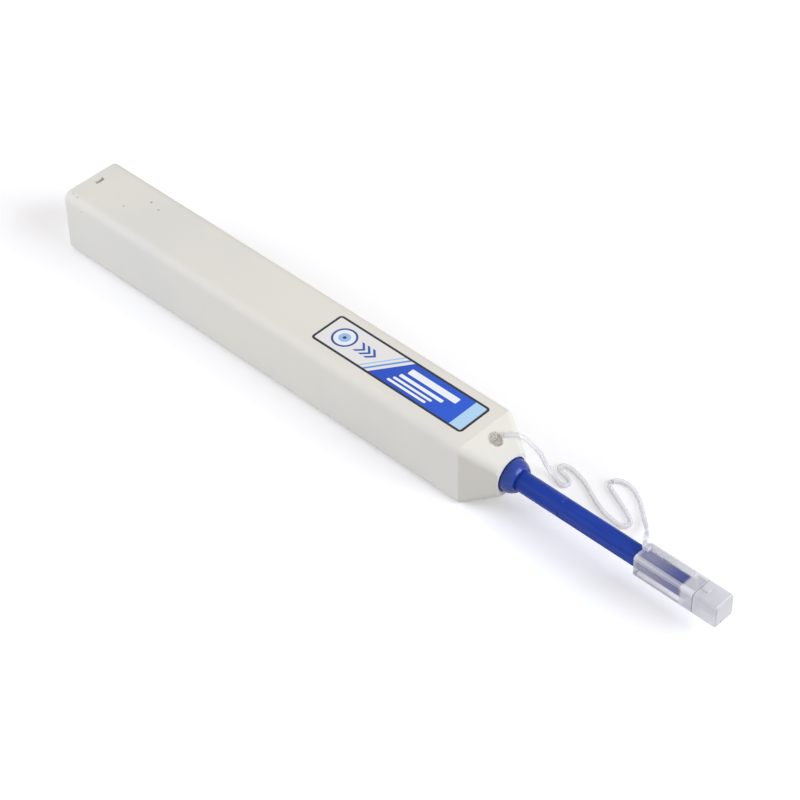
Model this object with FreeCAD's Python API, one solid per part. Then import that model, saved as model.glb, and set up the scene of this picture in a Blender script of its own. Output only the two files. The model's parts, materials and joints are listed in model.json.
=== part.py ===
"""Fibre connector cleaning pen.

A square white case slides over a spring-loaded nozzle unit.  The stroke turns a take-up
reel through a rack and pinion and turns the cleaning head half a turn through a cam groove,
so that each push wipes a connector's end face with fresh thread.

The frame: +X along the pen to the cap, +Z up, the case's flat bottom on Z = 0,
the origin under the middle of the pen's length.  All sizes are in millimetres.
"""
import os
from math import atan, cos, degrees, pi, radians, sin, sqrt, tan

import FreeCAD
import Part
from FreeCAD import Vector as V

# ---------------------------------------------------------------- driving dimensions
LENGTH = 201.0          # rear face to the closed lid's end
BODY = 18.0             # case width and height
EDGE_R = 2.15           # the case's long edges
WALL = 1.3
STROKE = 8.0            # how far the case slides over the nozzle
AXIS_Z = BODY / 2       # height of the pen's axis
GAP = 0.1               # running clearance of guided plastic pieces

CASE_LENGTH = 132.75    # rear face to where the nose starts
NOSE_LENGTH = 8.0
NOSE_HALF = 4.7         # half width of the nose at its mouth
NOSE_EDGE_R = 2.2       # the nose's long edges at its mouth
MOUTH_R = 4.5
REAR_EDGE_R = 1.1

X_REAR = -LENGTH / 2
X_NOSE = X_REAR + CASE_LENGTH
X_MOUTH = X_NOSE + NOSE_LENGTH
CAVITY_X0 = X_REAR + 6.5
CAVITY_X1 = X_NOSE - 1.25
CAVITY_HALF = BODY / 2 - WALL

LABEL_X0 = X_NOSE - 50.1
LABEL_X1 = X_NOSE - 3.1
LABEL_Y0 = -4.9
LABEL_Y1 = 5.4
LABEL_CORNER = 1.0
LABEL_DEPTH = 0.12

SLOT_X0 = X_REAR + 2.7  # lanyard slot, behind a bar at the case's rear
SLOT_X1 = SLOT_X0 + 1.2
SLOT_Y0 = -0.8
SLOT_Y1 = 1.8
SLOT_Z0 = 13.4
BAR_Z0 = 15.9

HOOK_STATIONS = (-84, -54, -20, 16)
HOOK_LENGTH = 4.0
HOOK_TOP = 4.0

PLUG_ALONG = 3.1        # from the nose's start to the strap plug's centre
PLUG_Y = 0.3
PLUG_HEAD_R = 1.8
PLUG_HEAD = 0.55
PLUG_STEM_R = 1.25
PLUG_STEM = 2.45
PLUG_HOLE_R = 1.5

TUBE_R = 2.5            # round part of the nozzle
TUBE_FLATS = 4.5        # across the flats of its connector end
TUBE_BORE_R = 1.65
TUBE_END = X_MOUTH + 50.5
FLATS_START = X_MOUTH + 14.5
FLATS_RAMP = 1.2
TUBE_CHAMFER = 0.25

CAP_SIZE = 6.2
CAP_EDGE_R = 0.8
CAP_REAR = X_MOUTH + 37.8
CAP_FRONT = X_MOUTH + 53.75
FERRULE_R = 1.3         # the cap's front bore
FOOT_Y = 0.45           # middle of the strap's foot on the cap
LID_GAP = 0.3
LEAF_LENGTH = 1.8
LEAF_HALF = 1.6
X_FRONT = LENGTH / 2

CHASSIS_X0 = -61.0
CHASSIS_HALF = 6.6
CHASSIS_Z0 = 1.6
CHASSIS_Z1 = 16.4
PLATE = 1.2
INNER_Y = CHASSIS_HALF - PLATE
CROSS_Z0 = 2.6          # cross walls between the side plates
CROSS_Z1 = 15.4
CROSS_WALL = 1.6
SPRING_POST_R = 1.9
BEARING_X0 = -16.0
FRONT_WALL_X0 = 22.4
FLANGE_X0 = FRONT_WALL_X0 + CROSS_WALL + 0.1
FLANGE_X1 = FLANGE_X0 + 2.4
FLANGE_R = 5.0
FORK_X0 = FLANGE_X1 + 0.1
FORK_X1 = FORK_X0 + 1.6
COLLAR_X0 = FORK_X1 + 0.1

SUPPLY_X = -50.0
TAKEUP_X = -34.5
REEL_R = 6.8
REEL_Y0 = -5.0
REEL_Y1 = 2.2
REEL_FLANGE = 0.7
POST_R = 1.5
HUB_R = 2.1
SUPPLY_WIND_R = 5.6
TAKEUP_WIND_R = 2.8
THREAD_R = 0.2
THREAD_OUT = 1.15       # from the pen's axis to the threads beside the head rod
REEL_MID_Y = (REEL_Y0 + REEL_Y1) / 2
GUIDE_PIN_X = -22.0
GUIDE_PIN_R = 1.0
FEED_Z = AXIS_Z - SUPPLY_WIND_R - THREAD_R
RETURN_Z = AXIS_Z + TAKEUP_WIND_R + THREAD_R

MODULE = 0.8
PINION_TEETH = 12
PITCH_R = MODULE * PINION_TEETH / 2
PRESSURE = radians(20)
BACKLASH = 0.16
PINION_Y0 = 2.2
PINION_Y1 = 4.8

DRUM_X0 = -11.0
DRUM_X1 = 13.0
DRUM_R = 4.2
CAM_PIN_X = -3.0
CAM_PIN_R = 0.7
CAM_GROOVE = 2.0        # measured along the axis
CAM_DEPTH = 1.1
CAM_TURN = 180.0        # degrees of head rotation over the stroke
JOURNAL_REAR_R = 1.6
JOURNAL_FRONT_R = 2.0
SPINDLE_X0 = BEARING_X0 - 0.3
ROD_R = 0.9
ROD_END = TUBE_END - 6.5
TIP_END = TUBE_END + 0.6
TIP_HALF = 0.2

STRAP_DIAMETER = 1.15
STRAP_Z = 0.6           # centre height of the strap where it lies on the table


# ---------------------------------------------------------------- helpers
def box(x0, x1, y0, y1, z0, z1):
    return Part.makeBox(x1 - x0, y1 - y0, z1 - z0, V(x0, y0, z0))


def rod_x(x0, x1, radius, y=0.0, z=AXIS_Z):
    return Part.makeCylinder(radius, x1 - x0, V(x0, y, z), V(1, 0, 0))


def rod_y(y0, y1, radius, x, z=AXIS_Z):
    return Part.makeCylinder(radius, y1 - y0, V(x, y0, z), V(0, 1, 0))


def revolved(profile):
    """A solid of revolution about the pen's axis from (x, radius) points."""
    points = [V(x, 0, AXIS_Z + r) for x, r in profile]
    face = Part.Face(Part.makePolygon(points + points[:1]))
    return face.revolve(V(0, 0, AXIS_Z), V(1, 0, 0), 360)


def rounded_square(x, half, radius):
    """A closed wire: a square across the pen at x, with rounded corners."""
    edges = []
    flat = half - radius
    for quarter in range(4):
        turn = FreeCAD.Rotation(V(1, 0, 0), 90 * quarter)

        def at(y, z):
            return turn.multVec(V(0, y, z)) + V(x, 0, AXIS_Z)

        diagonal = flat + radius * sqrt(0.5)
        edges.append(Part.LineSegment(at(-flat, half), at(flat, half)).toShape())
        edges.append(Part.Arc(at(flat, half), at(diagonal, diagonal), at(half, flat)).toShape())
    return Part.Wire(Part.__sortEdges__(edges))


def square_bar(x0, x1, half, radius):
    return Part.Face(rounded_square(x0, half, radius)).extrude(V(x1 - x0, 0, 0))


def fused(shapes):
    result = shapes[0].fuse(shapes[1:]) if len(shapes) > 1 else shapes[0]
    return result.removeSplitter()


def tangent_arc_path(points, share=0.45):
    """Straight runs joined by tangent arcs, and the arcs' radii."""
    edges = []
    radii = []
    start = points[0]
    for before, corner, after in zip(points, points[1:], points[2:]):
        run_in = corner - before
        run_out = after - corner
        half_turn = run_in.getAngle(run_out) / 2
        cut = share * min(run_in.Length, run_out.Length)
        radii.append(cut / tan(half_turn))
        into = V(run_in).normalize()
        out = V(run_out).normalize()
        first = corner - into * cut
        last = corner + out * cut
        inward = V(out - into).normalize()
        radius = radii[-1]
        middle = corner + inward * (radius / cos(half_turn) - radius)
        edges.append(Part.LineSegment(start, first).toShape())
        edges.append(Part.Arc(first, middle, last).toShape())
        start = last
    edges.append(Part.LineSegment(start, points[-1]).toShape())
    return Part.Wire(edges), radii


def wire_section(centre, direction, radius, sides):
    """A regular polygon across a wire or thread, with the area of a circle of that radius."""
    step = 2 * pi / sides
    corner_r = radius * sqrt(step / sin(step))
    turn = FreeCAD.Rotation(V(0, 0, 1), direction)
    corners = [centre + turn.multVec(V(corner_r * cos(step * k), corner_r * sin(step * k), 0))
               for k in range(sides)]
    return Part.makePolygon(corners + corners[:1])


def tube_along(points, radius, share=0.45, sides=8):
    path, radii = tangent_arc_path(points, share)
    profile = wire_section(points[0], points[1] - points[0], radius, sides)
    return path.makePipeShell([profile], True, False), path.Length, radii


def coil_spring(x0, x1, coil_r, wire_r, turns):
    """A compression spring along the pen's axis, between the two end faces given."""
    length = x1 - x0 - 2 * wire_r
    helix = Part.makeHelix(length / turns, length, coil_r)
    helix = Part.Wire(helix.Edges)
    start = helix.Edges[0].Vertexes[0].Point
    tangent = helix.Edges[0].tangentAt(helix.Edges[0].FirstParameter)
    profile = wire_section(start, tangent, wire_r, 5)
    coil = helix.makePipeShell([profile], True, True)
    coil.rotate(V(0, 0, 0), V(0, 1, 0), 90)
    coil.translate(V(x0 + wire_r, 0, AXIS_Z))
    return coil


# ---------------------------------------------------------------- case
def nose_slope():
    """The tilt of the nose's top face from level, in radians."""
    return atan((BODY / 2 - NOSE_HALF) / NOSE_LENGTH)


def plug_placement():
    """The strap plug's seat: its centre on the nose's top face, and the outward normal."""
    centre = V(X_NOSE + PLUG_ALONG, PLUG_Y, BODY - PLUG_ALONG * tan(nose_slope()))
    normal = V(sin(nose_slope()), 0, cos(nose_slope()))
    return centre, normal


def case_outside():
    body = square_bar(X_REAR, X_NOSE, BODY / 2, EDGE_R)
    rear_edges = [e for e in body.Edges if e.BoundBox.XMax < X_REAR + 0.01]
    body = body.makeFillet(REAR_EDGE_R, rear_edges)
    nose = Part.makeLoft([rounded_square(X_NOSE, BODY / 2, EDGE_R),
                          rounded_square(X_MOUTH, NOSE_HALF, NOSE_EDGE_R)], True, True)
    # a small turned bevel takes the mouth's four corners off
    mouth_trim = revolved([(X_NOSE - 1, 0), (X_NOSE - 1, BODY), (X_MOUTH - 1, BODY),
                           (X_MOUTH - 0.3, NOSE_HALF + 1.05), (X_MOUTH, NOSE_HALF + 0.75),
                           (X_MOUTH, 0)])
    return body.fuse(nose.common(mouth_trim)).removeSplitter()


def hook_positions():
    return [(x, side) for x in HOOK_STATIONS for side in (-1, 1)]


def case_shell():
    shell = case_outside()
    cavity = box(CAVITY_X0, CAVITY_X1, -CAVITY_HALF, CAVITY_HALF, -1, BODY - WALL)
    shell = shell.cut(cavity)

    # guide ribs that the chassis runs between, and the boss of the cam pin
    extras = []
    rib_inner = CHASSIS_HALF + GAP
    for side in (-1, 1):
        for z in (5.4, 12.0):
            y0, y1 = sorted((side * rib_inner, side * (CAVITY_HALF + 0.2)))
            extras.append(box(CHASSIS_X0 - STROKE - 1, CAVITY_X1 + 0.2, y0, y1, z, z + 1.2))
    extras.append(Part.makeCylinder(2.0, 2.4, V(CAM_PIN_X, 0, BODY - WALL - 2.2)))
    # the post that the return spring sits on
    extras.append(rod_x(CAVITY_X0 - 0.5, CAVITY_X0 + 9, SPRING_POST_R))
    shell = fused([shell] + extras)

    cuts = [rod_x(CAVITY_X1 - 1, X_MOUTH + 1, MOUTH_R)]
    cuts.append(Part.makeCylinder(CAM_PIN_R, 3.6, V(CAM_PIN_X, 0, BODY - WALL - 3)))
    # windows in the side walls that take the cover's snap hooks
    for x, side in hook_positions():
        y0, y1 = sorted((side * (CAVITY_HALF - 0.2), side * (CAVITY_HALF + 0.55)))
        half = HOOK_LENGTH / 2 + 0.2
        cuts.append(box(x - half, x + half, y0, y1, 2.6, HOOK_TOP + 0.2))
    # lanyard slot: down through the top, out through the rear face
    cuts.append(box(SLOT_X0, SLOT_X1, SLOT_Y0, SLOT_Y1, SLOT_Z0, BODY + 1))
    cuts.append(box(X_REAR - 1, SLOT_X1, SLOT_Y0, SLOT_Y1, SLOT_Z0, BAR_Z0))
    cuts.append(label_blank(0.06, -LABEL_DEPTH, 1))
    # hole of the strap plug
    centre, normal = plug_placement()
    cuts.append(Part.makeCylinder(PLUG_HOLE_R, 3.6, centre - normal * 2.6, normal))
    for tool in cuts:
        shell = shell.cut(tool)
    return shell.removeSplitter()


def base_cover():
    plate = box(CAVITY_X0 + GAP, CAVITY_X1 - GAP, -CAVITY_HALF + GAP, CAVITY_HALF - GAP, 0, WALL)
    plate = plate.common(case_outside())
    pieces = [plate]
    for x, side in hook_positions():
        y_out = CAVITY_HALF - GAP
        y0, y1 = sorted((side * (y_out - 0.8), side * y_out))
        x0 = x - HOOK_LENGTH / 2
        pieces.append(box(x0, x0 + HOOK_LENGTH, y0, y1, WALL - 0.1, HOOK_TOP))
        # the hook's wedge, standing out into the window
        catch = [V(x0, side * (y_out - 0.1), 2.8), V(x0, side * (y_out + 0.5), 2.8),
                 V(x0, side * y_out, HOOK_TOP), V(x0, side * (y_out - 0.1), HOOK_TOP)]
        profile = Part.Face(Part.makePolygon(catch + catch[:1]))
        pieces.append(profile.extrude(V(HOOK_LENGTH, 0, 0)))
    # two long ribs that stiffen the plate, under the chassis
    for y in (-3.6, 0.2):
        pieces.append(box(-88, 28, y, y + 0.8, WALL - 0.1, WALL + 0.2))
    return fused(pieces)


def label_blank(grow, z0, z1):
    """The label's outline as a plate, grown sideways, between two heights above the top."""
    x0, x1 = LABEL_X0 - grow, LABEL_X1 + grow
    y0, y1 = LABEL_Y0 - grow, LABEL_Y1 + grow
    plate = box(x0, x1, y0, y1, BODY + z0, BODY + z1)
    upright = [e for e in plate.Edges if abs(e.tangentAt(e.FirstParameter).z) > 0.9]
    return plate.makeFillet(LABEL_CORNER + grow, upright)


def label():
    return label_blank(0, -LABEL_DEPTH, 0)


def rack_tooth_outline(x):
    """One tooth of the rack as points in the XZ plane, centred at x."""
    pitch_z = AXIS_Z - PITCH_R
    top = pitch_z + 0.55
    root = pitch_z - 0.95
    half = pi * MODULE / 4 - BACKLASH / 2
    lean = tan(PRESSURE)
    return [V(x - half - (pitch_z - root) * lean, 0, root),
            V(x - half + (top - pitch_z) * lean, 0, top),
            V(x + half - (top - pitch_z) * lean, 0, top),
            V(x + half + (pitch_z - root) * lean, 0, root)]


def drive_rack():
    pitch = pi * MODULE
    # a tooth space lies under the take-up post at rest; the pinion rolls towards -X
    first = TAKEUP_X - 4.5 * pitch
    count = 6
    outline = []
    for tooth in range(count):
        outline += rack_tooth_outline(first + pitch * tooth)
    x0 = outline[0].x - 0.6
    x1 = outline[-1].x + 0.6
    root = outline[0].z
    bottom = WALL
    points = [V(x0, 0, bottom), V(x0, 0, root)] + outline + [V(x1, 0, root), V(x1, 0, bottom)]
    bar = Part.Face(Part.makePolygon(points + points[:1])).extrude(V(0, 2.2, 0))
    bar.translate(V(0, 2.4, 0))
    return bar


def cam_pin():
    foot = AXIS_Z + DRUM_R - CAM_DEPTH + 0.2
    pin = Part.makeCylinder(CAM_PIN_R, 4.2, V(CAM_PIN_X, 0, foot))
    rim = [e for e in pin.Edges if abs(e.BoundBox.ZMax - foot) < 0.01]
    return pin.makeChamfer(0.15, rim)


def strap_plug():
    """A clear button with a split stem in the nose, and the ear that the strap grows from."""
    centre, normal = plug_placement()
    stem = Part.makeCylinder(PLUG_STEM_R, PLUG_STEM, V(0, 0, -PLUG_STEM))
    stem = stem.cut(box(-0.25, 0.25, -2, 2, -3, -0.5)).cut(box(-2, 2, -0.25, 0.25, -3, -0.5))
    head = Part.makeCylinder(PLUG_HEAD_R, PLUG_HEAD)
    top = [e for e in head.Edges if e.BoundBox.ZMin > 0.5]
    head = head.makeChamfer(0.2, top)
    button = stem.fuse(head)
    button.rotate(V(0, 0, 0), V(0, 1, 0), degrees(nose_slope()))
    button.translate(centre)
    start, beyond = strap_route()[:2]
    ear_axis = (beyond - start).normalize()
    root = start - ear_axis * 1.9
    ear = Part.makeCylinder(STRAP_DIAMETER / 2, 1.9, root, ear_axis)
    return fused([button, ear])


def strap_route():
    """The tether strap's route from the plug's ear to the cap's foot, chosen by hand."""
    offset = X_NOSE
    z = STRAP_Z
    route = [(3.75, 2.0, 17.0), (4.6, 3.5, 16.7), (5.4, 5.3, 15.7), (6.3, 7.0, 13.7),
             (7.3, 8.5, 11.0), (7.9, 10.1, 8.0), (8.2, 11.1, 5.1), (8.2, 12.2, 2.6),
             (9.3, 12.7, 0.8), (11.0, 12.0, z), (13.1, 11.3, z), (14.2, 12.1, z),
             (14.1, 13.5, z), (12.2, 14.3, z), (9.7, 14.6, z), (9.0, 15.8, z),
             (9.8, 16.9, z), (12.0, 16.9, z), (14.9, 16.2, z), (17.8, 15.1, z),
             (20.7, 13.5, z), (23.6, 12.2, z), (26.2, 11.2, z), (28.7, 10.9, z),
             (31.1, 10.5, z), (32.4, 11.5, z), (32.3, 13.1, z), (30.4, 14.4, z),
             (27.8, 15.6, z), (25.3, 16.8, z), (23.1, 17.7, z), (21.3, 18.5, z),
             (20.8, 20.0, z), (21.7, 21.3, z), (23.5, 21.9, z), (25.8, 21.6, z),
             (28.5, 20.3, z), (31.1, 18.3, z), (33.8, 15.9, z), (36.2, 13.6, 1.9),
             (38.5, 10.9, 4.3), (40.4, 8.5, 7.3), (42.0, 6.2, 10.2), (43.4, 4.2, 12.2),
             (44.5, 2.5, 13.0), (45.2, 1.45, 12.85)]
    return [V(x + offset, y, height) for x, y, height in route]


def strap():
    tube, length, radii = tube_along(strap_route(), STRAP_DIAMETER / 2)
    section = pi * STRAP_DIAMETER ** 2 / 4
    print("strap: length %.1f, volume / (section x length) %.4f, arc radii %.2f to %.2f diameters"
          % (length, tube.Volume / (section * length), min(radii) / STRAP_DIAMETER,
             max(radii) / STRAP_DIAMETER))
    return tube


# ---------------------------------------------------------------- nozzle unit
def guide_pin_heights():
    return (FEED_Z + THREAD_R + GUIDE_PIN_R + 0.03, RETURN_Z - THREAD_R - GUIDE_PIN_R - 0.03)


def side_plate(y0, y1):
    plate = box(CHASSIS_X0, FORK_X1, y0, y1, CHASSIS_Z0, CHASSIS_Z1)
    upright = [e for e in plate.Edges if abs(e.tangentAt(e.FirstParameter).y) > 0.9]
    return plate.makeFillet(1.0, upright)


def fork_groove():
    """The slot across both side plates that holds the nozzle's retaining fork."""
    return box(FORK_X0 - 0.02, FORK_X1 + 0.02, -INNER_Y - 0.5, INNER_Y + 0.5, 0, BODY)


def chassis():
    pieces = [side_plate(-CHASSIS_HALF, -INNER_Y)]
    # cross walls: spring seat, rear bearing, front bearing
    for x in (CHASSIS_X0, BEARING_X0, FRONT_WALL_X0):
        pieces.append(box(x, x + CROSS_WALL, -INNER_Y - 0.1, INNER_Y, CROSS_Z0, CROSS_Z1))
    pieces.append(rod_x(CHASSIS_X0 - 3, CHASSIS_X0 + 0.5, SPRING_POST_R))
    # reel posts with stepped ends that enter the side cover
    for x in (SUPPLY_X, TAKEUP_X):
        pieces.append(rod_y(-INNER_Y - 0.1, INNER_Y, POST_R, x))
        pieces.append(rod_y(-INNER_Y, CHASSIS_HALF - 0.3, 1.0, x))
    body = fused(pieces)
    body = body.cut(rod_x(BEARING_X0 - 1, BEARING_X0 + 2, JOURNAL_REAR_R + 0.05))
    body = body.cut(rod_x(FRONT_WALL_X0 - 1, FRONT_WALL_X0 + 3, JOURNAL_FRONT_R + 0.05))
    for z in guide_pin_heights():
        body = body.cut(rod_y(-CHASSIS_HALF + 0.4, 0, GUIDE_PIN_R, GUIDE_PIN_X, z))
    return body.cut(fork_groove()).removeSplitter()


def chassis_cover():
    cover = fused([side_plate(INNER_Y, CHASSIS_HALF),
                   rod_y(REEL_Y1 + 0.2, INNER_Y + 0.1, 2.5, SUPPLY_X),
                   rod_y(PINION_Y1 + 0.2, INNER_Y + 0.1, 2.5, TAKEUP_X)])
    for x in (SUPPLY_X, TAKEUP_X):
        cover = cover.cut(rod_y(0, INNER_Y, POST_R + 0.05, x))
        cover = cover.cut(rod_y(0, CHASSIS_HALF + 1, 1.02, x))
    for z in guide_pin_heights():
        cover = cover.cut(rod_y(0, CHASSIS_HALF - 0.4, GUIDE_PIN_R, GUIDE_PIN_X, z))
    return cover.cut(fork_groove()).removeSplitter()


def nozzle_retainer():
    """A fork pushed down over the tube, in front of its flange."""
    half = INNER_Y + 0.45
    plate = box(FORK_X0, FORK_X1, -half, half, CROSS_Z0, CROSS_Z1)
    grip = TUBE_R + 0.03
    slot = rod_x(FORK_X0 - 1, FORK_X1 + 1, grip)
    slot = slot.fuse(box(FORK_X0 - 1, FORK_X1 + 1, -grip, grip, 0, AXIS_Z))
    return plate.cut(slot)


def flats_outline():
    """Side view of the connector end: parallel, a ramp down to the flats, a small end chamfer."""
    x = (FLANGE_X0 - 1, FLATS_START, FLATS_START + FLATS_RAMP, TUBE_END - TUBE_CHAMFER, TUBE_END)
    round_half = TUBE_R + 0.5
    flat_half = TUBE_FLATS / 2
    half = (round_half, round_half, flat_half, flat_half, flat_half - TUBE_CHAMFER)
    lower = [V(a, -BODY, AXIS_Z - b) for a, b in zip(x, half)]
    upper = [V(a, -BODY, AXIS_Z + b) for a, b in zip(x, half)]
    return Part.makePolygon(lower + upper[::-1] + lower[:1])


def nozzle_tube():
    tube = revolved([(FLANGE_X0, 0), (FLANGE_X0, TUBE_R), (TUBE_END - 2 * TUBE_CHAMFER, TUBE_R),
                     (TUBE_END, TUBE_R - 2 * TUBE_CHAMFER), (TUBE_END, 0)])
    slab = Part.Face(flats_outline()).extrude(V(0, 2 * BODY, 0))
    tube = tube.common(slab)
    slab.rotate(V(0, 0, AXIS_Z), V(1, 0, 0), 90)
    tube = tube.common(slab)
    tube = tube.fuse(rod_x(FLANGE_X0, FLANGE_X1, FLANGE_R))
    tube = tube.cut(rod_x(FLANGE_X0 - 1, TUBE_END + 1, TUBE_BORE_R))
    return tube.removeSplitter()


def nozzle_collar():
    """The domed ring at the nozzle's root.  Its inner flange stops on the nose's inner wall."""
    outline = [(COLLAR_X0, TUBE_R), (COLLAR_X0, 5.8), (CAVITY_X1 - 0.05, 5.8),
               (CAVITY_X1 - 0.05, MOUTH_R - 0.15), (X_MOUTH - 0.5, MOUTH_R - 0.15),
               (X_MOUTH - 0.25, 3.9), (X_MOUTH + 0.1, 3.9), (X_MOUTH + 0.1, 4.2)]
    dome_end = (X_MOUTH + 3.0, 3.15)
    points = [V(x, 0, AXIS_Z + r) for x, r in outline]
    dome_start = points[-1]
    dome_mid = V(X_MOUTH + 1.75, 0, AXIS_Z + 3.95)
    dome_stop = V(dome_end[0], 0, AXIS_Z + dome_end[1])
    inner_front = V(dome_end[0], 0, AXIS_Z + TUBE_R)
    edges = [Part.LineSegment(a, b).toShape() for a, b in zip(points, points[1:])]
    edges.append(Part.Arc(dome_start, dome_mid, dome_stop).toShape())
    edges.append(Part.LineSegment(dome_stop, inner_front).toShape())
    edges.append(Part.LineSegment(inner_front, points[0]).toShape())
    return Part.Face(Part.Wire(edges)).revolve(V(0, 0, AXIS_Z), V(1, 0, 0), 360)


def rod_guide():
    """A bush near the nozzle's end that centres the head rod and lets the thread pass."""
    bush = rod_x(TUBE_END - 10, TUBE_END - 7, TUBE_BORE_R)
    return bush.cut(rod_x(TUBE_END - 11, TUBE_END - 6, THREAD_OUT + THREAD_R))


def guide_pins():
    pins = [rod_y(-CHASSIS_HALF + 0.45, CHASSIS_HALF - 0.45, GUIDE_PIN_R - 0.01, GUIDE_PIN_X, z)
            for z in guide_pin_heights()]
    return Part.makeCompound(pins)


def thread_past_pin(reel_x, line_z, spindle_z):
    """A thread that leaves a winding level and bends round its pin into the spindle."""
    wrap_r = GUIDE_PIN_R + THREAD_R + 0.03
    end = V(BEARING_X0 - 0.6, 0, spindle_z)
    turn = atan(abs(spindle_z - line_z) / (end.x - GUIDE_PIN_X - 0.4))
    cut = wrap_r * tan(turn / 2)
    corner = V(GUIDE_PIN_X + cut, REEL_MID_Y, line_z)
    route = [V(reel_x, REEL_MID_Y, line_z), corner, end]
    return tube_along(route, THREAD_R, cut / (end - corner).Length)[0]


def thread_feed():
    """Clean thread: off the bottom of the supply winding, under its pin, into the spindle."""
    return thread_past_pin(SUPPLY_X, FEED_Z, AXIS_Z - THREAD_OUT)


def thread_return():
    """Used thread: out of the spindle, over its pin, onto the top of the take-up winding."""
    return thread_past_pin(TAKEUP_X, RETURN_Z, AXIS_Z + THREAD_OUT)


def return_spring():
    return coil_spring(CAVITY_X0 + 0.05, CHASSIS_X0 - 0.05, 3.2, 0.35, 7)


def head_spring():
    return coil_spring(DRUM_X1 + 0.1, FRONT_WALL_X0 - 0.1, 2.9, 0.3, 4)


def reel_brakes():
    washers = []
    for x in (SUPPLY_X, TAKEUP_X):
        ring = rod_y(-INNER_Y + 0.02, REEL_Y0 - 0.02, 3.2, x).cut(rod_y(-9, 9, POST_R + 0.05, x))
        washers.append(ring)
    return Part.makeCompound(washers)


# ---------------------------------------------------------------- reels
def bare_reel(x, hub_end):
    hub = rod_y(REEL_Y0, hub_end, HUB_R, x)
    near = rod_y(REEL_Y0, REEL_Y0 + REEL_FLANGE, REEL_R, x)
    far = rod_y(REEL_Y1 - REEL_FLANGE, REEL_Y1, REEL_R, x)
    reel = fused([hub, near, far])
    # the slit in the near flange that catches the thread's end
    return reel.cut(box(x - 0.2, x + 0.2, REEL_Y0 - 1, REEL_Y0 + REEL_FLANGE, AXIS_Z + 4.6, BODY))


def supply_reel():
    return bare_reel(SUPPLY_X, REEL_Y1).cut(rod_y(-9, 9, POST_R + 0.06, SUPPLY_X))


def winding(x, radius):
    y0 = REEL_Y0 + REEL_FLANGE
    y1 = REEL_Y1 - REEL_FLANGE
    return rod_y(y0, y1, radius, x).cut(rod_y(-9, 9, HUB_R, x))


def supply_winding():
    return winding(SUPPLY_X, SUPPLY_WIND_R)


def takeup_winding():
    return winding(TAKEUP_X, TAKEUP_WIND_R)


def involute_flank(angle_at_base, tip_r):
    """Three points of an involute flank, as (radius, angle) pairs from its base to the tip."""
    base_r = PITCH_R * cos(PRESSURE)
    points = []
    for k in range(3):
        r = base_r + (tip_r - base_r) * k / 2
        roll = sqrt((r / base_r) ** 2 - 1)
        points.append((r, angle_at_base + roll - atan(roll)))
    return points


def pinion_blank():
    """The pinion's outline: involute flanks as arcs, straight roots, one tooth straight down."""
    base_r = PITCH_R * cos(PRESSURE)
    tip_r = PITCH_R + 0.72
    root_r = PITCH_R - 0.85
    spread = tan(PRESSURE) - PRESSURE
    half_at_base = (pi * MODULE / 2 - BACKLASH) / (2 * PITCH_R) + spread

    def at(r, angle):
        return V(TAKEUP_X + r * sin(angle), 0, AXIS_Z - r * cos(angle))

    edges = []
    previous = None
    first = None
    for tooth in range(PINION_TEETH):
        centre = 2 * pi * tooth / PINION_TEETH
        flank = involute_flank(-half_at_base, tip_r)
        rise = [at(r, centre + a) for r, a in flank]
        fall = [at(r, centre - a) for r, a in reversed(flank)]
        foot_in = at(root_r, centre - half_at_base)
        foot_out = at(root_r, centre + half_at_base)
        if previous:
            edges.append(Part.LineSegment(previous, foot_in).toShape())
        else:
            first = foot_in
        edges.append(Part.LineSegment(foot_in, rise[0]).toShape())
        edges.append(Part.Arc(*rise).toShape())
        edges.append(Part.LineSegment(rise[-1], fall[0]).toShape())
        edges.append(Part.Arc(*fall).toShape())
        edges.append(Part.LineSegment(fall[-1], foot_out).toShape())
        previous = foot_out
    edges.append(Part.LineSegment(previous, first).toShape())
    return Part.Face(Part.Wire(edges))


def ratchet_tooth(index, count):
    """A saw tooth on the pinion's face that drives the reel one way: a wedge over one sector."""
    inner, outer, depth, face = 1.2, 3.1, 0.45, 1.4
    profile = Part.makePolygon([V(inner, 0, 0), V(inner, -depth, 0), V(inner, 0, face), V(inner, 0, 0)])
    wedge = Part.Face(profile).extrude(V(outer - inner, 0, 0))
    wedge.rotate(V(0, 0, 0), V(0, 1, 0), 360 * index / count)
    wedge.translate(V(TAKEUP_X, PINION_Y0, AXIS_Z))
    return wedge


def takeup_pinion():
    gear = pinion_blank().extrude(V(0, PINION_Y1 - PINION_Y0, 0))
    gear.translate(V(0, PINION_Y0, 0))
    teeth = [ratchet_tooth(k, 6) for k in range(6)]
    gear = fused([gear] + teeth)
    return gear.cut(rod_y(-9, 9, POST_R + 0.06, TAKEUP_X))


def takeup_reel():
    reel = bare_reel(TAKEUP_X, REEL_Y1)
    for k in range(6):
        reel = reel.cut(ratchet_tooth(k, 6))
    return reel.cut(rod_y(-9, 9, POST_R + 0.06, TAKEUP_X))


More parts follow.
